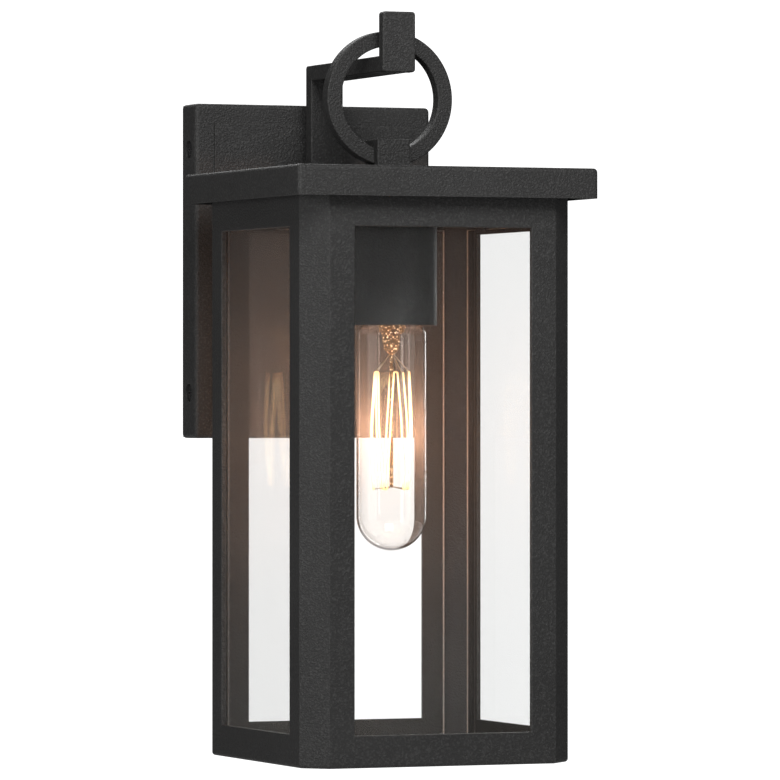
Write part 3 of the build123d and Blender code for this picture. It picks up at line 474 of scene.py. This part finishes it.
def stem_glass():
    """Pressed glass stem with bumped folds: on some folds a pale gold colour and a glow paint the glints
    of the filament's light, and a dark brown colour paints shade on the others.
    """
    look = Look("stem_glass")
    folds = look.grains(STEM_FACET)
    pressed = look.noise(0.8 * MM, detail=2.0)
    # painted glints: where this mask is high the stem is coloured pale gold and glows, standing in for the
    # filament's light on those folds; elsewhere its dark brown is painted shade
    lit = look.remap(folds, 0.2, 0.45, 1.0, 0.0)
    painted_glint = look.math("MULTIPLY", lit, look.remap(pressed, 0.42, 0.58, 0.1, 1.0))
    look.set(
        Base_Color=look.mix(painted_glint, (0.30, 0.20, 0.12), (1.0, 0.92, 0.76)),
        Roughness=look.remap(pressed, 0.3, 0.7, 0.05, 0.2),
        Transmission_Weight=0.85,
        IOR=STEM_INDEX,
        Normal=look.bump(folds, STEM_FACET_DEPTH),
        Emission_Color=look.mix(painted_glint, (0.5, 0.20, 0.05), (1.0, 0.84, 0.56)),
        Emission_Strength=look.remap(painted_glint, 0.1, 0.8, 0.02, STEM_PAINTED_GLINT_STRENGTH),
    )
    look.lets_lamps_through((0.95, 0.85, 0.7))
    return look.material


def tungsten_filament():
    """Glowing wire, hottest in the middle of each strand and duller where its supports cool it."""
    look = Look("tungsten_filament")
    low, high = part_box("filament")
    middle = (low.z + high.z) / 2
    length = high.z - low.z
    from_middle = look.math("ABSOLUTE", look.math("SUBTRACT", look.axis(look.position, "Z"), middle))
    heat = look.remap(from_middle, length * COOLING_STARTS, length * COOLING_ENDS, 1.0, END_HEAT)
    uneven = look.remap(look.noise(5 * MM), 0.3, 0.7, 0.8, 1.15)
    look.set(
        Base_Color=look.mix(heat, (0.20, 0.14, 0.09), (0.34, 0.26, 0.18)),
        Metallic=1.0,
        Roughness=look.remap(look.noise(0.3 * MM), 0.3, 0.7, 0.35, 0.5),
        Emission_Color=look.mix(heat, (1.0, 0.50, 0.18), FILAMENT_COLOUR),
        Emission_Strength=look.math("MULTIPLY", look.math("MULTIPLY", heat, uneven), FILAMENT_STRENGTH),
    )
    return look.material


PLAIN_LOOKS = (
    black_powder_coat,
    black_zinc,
    zinc_steel,
    green_zinc,
    shell_metal,
    contact_brass,
    base_brass,
    molybdenum,
    solder,
    bare_copper,
    phenolic,
    soft_rubber,
    black_insulation,
    white_insulation,
    connector_plastic,
    black_glass,
    foam_rubber,
    bulb_glass,
    stem_glass,
    tungsten_filament,
)


def mesh_from(shape, name, finish):
    """Turns a finished bmesh into a mesh with that name and finish."""
    mesh = bpy.data.meshes.new(name)
    shape.to_mesh(mesh)
    shape.free()
    mesh.materials.append(finish)
    return mesh


def add_object(name, data):
    """A new object in the scene, made of that mesh, lamp or camera."""
    made = bpy.data.objects.new(name, data)
    bpy.context.scene.collection.objects.link(made)
    return made


def thinnest_axis(node):
    """The name of the axis along which that node's box is smallest."""
    low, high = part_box(node)
    size = high - low
    return "XYZ"[min(range(3), key=lambda i: size[i])]


def dress_frame(frame):
    """Gives every CAD node the finish of its material slot, and returns the finishes by name."""
    looks = {make.__name__: make() for make in PLAIN_LOOKS}
    for name, node in frame["nodes"].items():
        for place in node.material_slots:
            if name in PANE_HAZE:
                place.material = window_glass(name, thinnest_axis(name), PANE_HAZE[name])
            else:
                place.material = looks[place.material.name.split(".")[0]]
    return looks


# ---- bulb ----


def stem_ring(scatter, radius, drop, wobble):
    """Points round the stem at that distance below its top, pushed in and along by the wobble."""
    ring = []
    for corner in range(STEM_CORNERS):
        turn = 2 * math.pi * (corner + wobble / 2) / STEM_CORNERS
        reach = radius * (1.0 - wobble * STEM_PINCH * scatter.random())
        level = -drop + wobble * STEM_SHIFT * (scatter.random() - 0.5)
        ring.append(Vector((reach * math.cos(turn), reach * math.sin(turn), level)))
    return ring


def make_stem(finish):
    """Glass stem whose pressed end has the flat facets that pinching leaves, and its thin rod."""
    low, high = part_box("bulb_stem")
    scatter = random.Random(STEM_SEED)
    rod_end = (STEM_ROD_RADIUS, high.z - low.z, 0.0)
    rings = [stem_ring(scatter, *row) for row in [*STEM_RINGS, rod_end]]
    shape = bmesh.new()
    rows = [[shape.verts.new(point) for point in ring] for ring in rings]
    shape.faces.new(rows[0])
    shape.faces.new(reversed(rows[-1]))
    for above, below in zip(rows, rows[1:]):
        for i in range(STEM_CORNERS):
            j = (i + 1) % STEM_CORNERS
            shape.faces.new((above[i], below[i], below[j]))
            shape.faces.new((above[i], below[j], above[j]))
    bmesh.ops.recalc_face_normals(shape, faces=shape.faces)
    stem = add_object("pressed_stem", mesh_from(shape, "pressed_stem", finish))
    stem.location = ((low.x + high.x) / 2, (low.y + high.y) / 2, high.z)
    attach(stem, "bulb")
    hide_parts("bulb_stem")


# ---- studio ----


def glow_where_seen(tree, dim, bright):
    """A strength that is bright to rays straight from the view or through glass, and dim to all others."""
    path = tree.nodes.new("ShaderNodeLightPath").outputs

    def combine(operation, a, b):
        node = tree.nodes.new("ShaderNodeMath")
        node.operation = operation
        for socket, value in zip(node.inputs, (a, b)):
            if isinstance(value, float):
                socket.default_value = value
            else:
                tree.links.new(value, socket)
        return node.outputs[0]

    # a whole number of bounces is under a half only when there are none
    bounces = combine("ADD", path["Diffuse Depth"], path["Glossy Depth"])
    straight = combine("LESS_THAN", bounces, 0.5)
    through_glass = combine("MULTIPLY", straight, path["Is Transmission Ray"])
    seen = combine("MAXIMUM", through_glass, path["Is Camera Ray"])
    return combine("ADD", combine("MULTIPLY", seen, bright - dim), dim)


def floor_material():
    """Pale matt paper."""
    look = Look("studio_floor")
    paper = look.noise(PAPER_GRAIN)
    look.set(
        Base_Color=look.mix(look.share(paper, 0.3, 0.7), (0.90, 0.90, 0.90), (0.93, 0.93, 0.93)),
        Roughness=look.remap(paper, 0.3, 0.7, 0.8, 0.9),
        Emission_Color=WHITE,
        Emission_Strength=glow_where_seen(look.tree, FLOOR_DIM, FLOOR_GLOW),
    )
    return look.material


def make_floor(under):
    """A pale round floor, as far below the lantern as the ground is below a wall light."""
    shape = bmesh.new()
    bmesh.ops.create_circle(shape, cap_ends=True, radius=FLOOR_RADIUS, segments=FLOOR_CORNERS)
    floor = add_object("studio_floor", mesh_from(shape, "studio_floor", floor_material()))
    floor.location = (under.x, under.y, under.z - FLOOR_DROP)


def make_world():
    """A white backdrop where it is seen straight or through glass, and a dimmer one for light."""
    world = bpy.data.worlds.new("studio")
    bpy.context.scene.world = world
    world.use_nodes = True
    tree = world.node_tree
    background = tree.nodes["Background"]
    background.inputs["Color"].default_value = opaque(WHITE)
    strength = glow_where_seen(tree, AMBIENT_STRENGTH, BACKDROP_STRENGTH)
    tree.links.new(strength, background.inputs["Strength"])


def direction(azimuth, elevation):
    """From the object towards a viewer at that azimuth and elevation, in radians."""
    return Vector((
        math.sin(azimuth) * math.cos(elevation),
        -math.cos(azimuth) * math.cos(elevation),
        math.sin(elevation),
    ))


def aim_at(thing, target, away, distance):
    """Puts a lamp or camera at that distance from the target, looking at it."""
    thing.location = target + away * distance
    thing.rotation_euler = (-away).to_track_quat("-Z", "Y").to_euler()


def make_softboxes(centre):
    """Soft rectangular lamps all round the lantern, each facing its centre."""
    for name, (azimuth, elevation, distance, width, height, power) in SOFTBOXES.items():
        data = bpy.data.lights.new(name, "AREA")
        data.shape = "RECTANGLE"
        data.size = width
        data.size_y = height
        data.energy = power
        lamp = add_object(name, data)
        aim_at(lamp, centre, direction(math.radians(azimuth), math.radians(elevation)), distance)


def make_lamp_light():
    """The light that the filament gives, on the bulb so that it comes out with it."""
    low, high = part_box("filament")
    data = bpy.data.lights.new("lamp_light", "POINT")
    data.energy = LAMP_LIGHT_POWER
    data.color = LAMP_LIGHT_COLOUR
    data.shadow_soft_size = LAMP_LIGHT_RADIUS
    lamp = add_object("lamp_light", data)
    lamp.location = (low + high) / 2
    lamp.visible_camera = False
    lamp.visible_transmission = False
    lamp.visible_glossy = False
    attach(lamp, "bulb")


def make_camera():
    """A long lens, level with the lantern and a little to its left."""
    low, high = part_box("lantern_cage")
    data = bpy.data.cameras.new("camera")
    data.lens = CAMERA_LENS
    data.sensor_width = SENSOR_WIDTH
    data.clip_end = VIEW_LIMIT
    camera = add_object("camera", data)
    away = direction(CAMERA_AZIMUTH, CAMERA_ELEVATION)
    aim_at(camera, (low + high) / 2 + AIM_FROM_CAGE_CENTRE, away, CAMERA_DISTANCE)
    bpy.context.scene.camera = camera


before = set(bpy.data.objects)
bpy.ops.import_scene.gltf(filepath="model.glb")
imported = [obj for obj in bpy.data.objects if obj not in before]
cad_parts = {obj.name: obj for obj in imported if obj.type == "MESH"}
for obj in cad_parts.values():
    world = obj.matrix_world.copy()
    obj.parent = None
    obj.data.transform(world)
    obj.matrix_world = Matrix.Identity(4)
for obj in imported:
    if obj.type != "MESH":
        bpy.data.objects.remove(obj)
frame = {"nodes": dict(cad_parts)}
cad_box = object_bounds()
centre = (cad_box[0] + cad_box[1]) / 2
bpy.context.scene.view_settings.view_transform = "Standard"
looks = dress_frame(frame)
make_stem(looks["stem_glass"])
for name in GLOWING_NODES:
    frame["nodes"][name].visible_shadow = False
make_camera()
make_world()
make_floor(Vector((centre.x, centre.y, cad_box[0].z)))
make_softboxes(centre)
make_lamp_light()
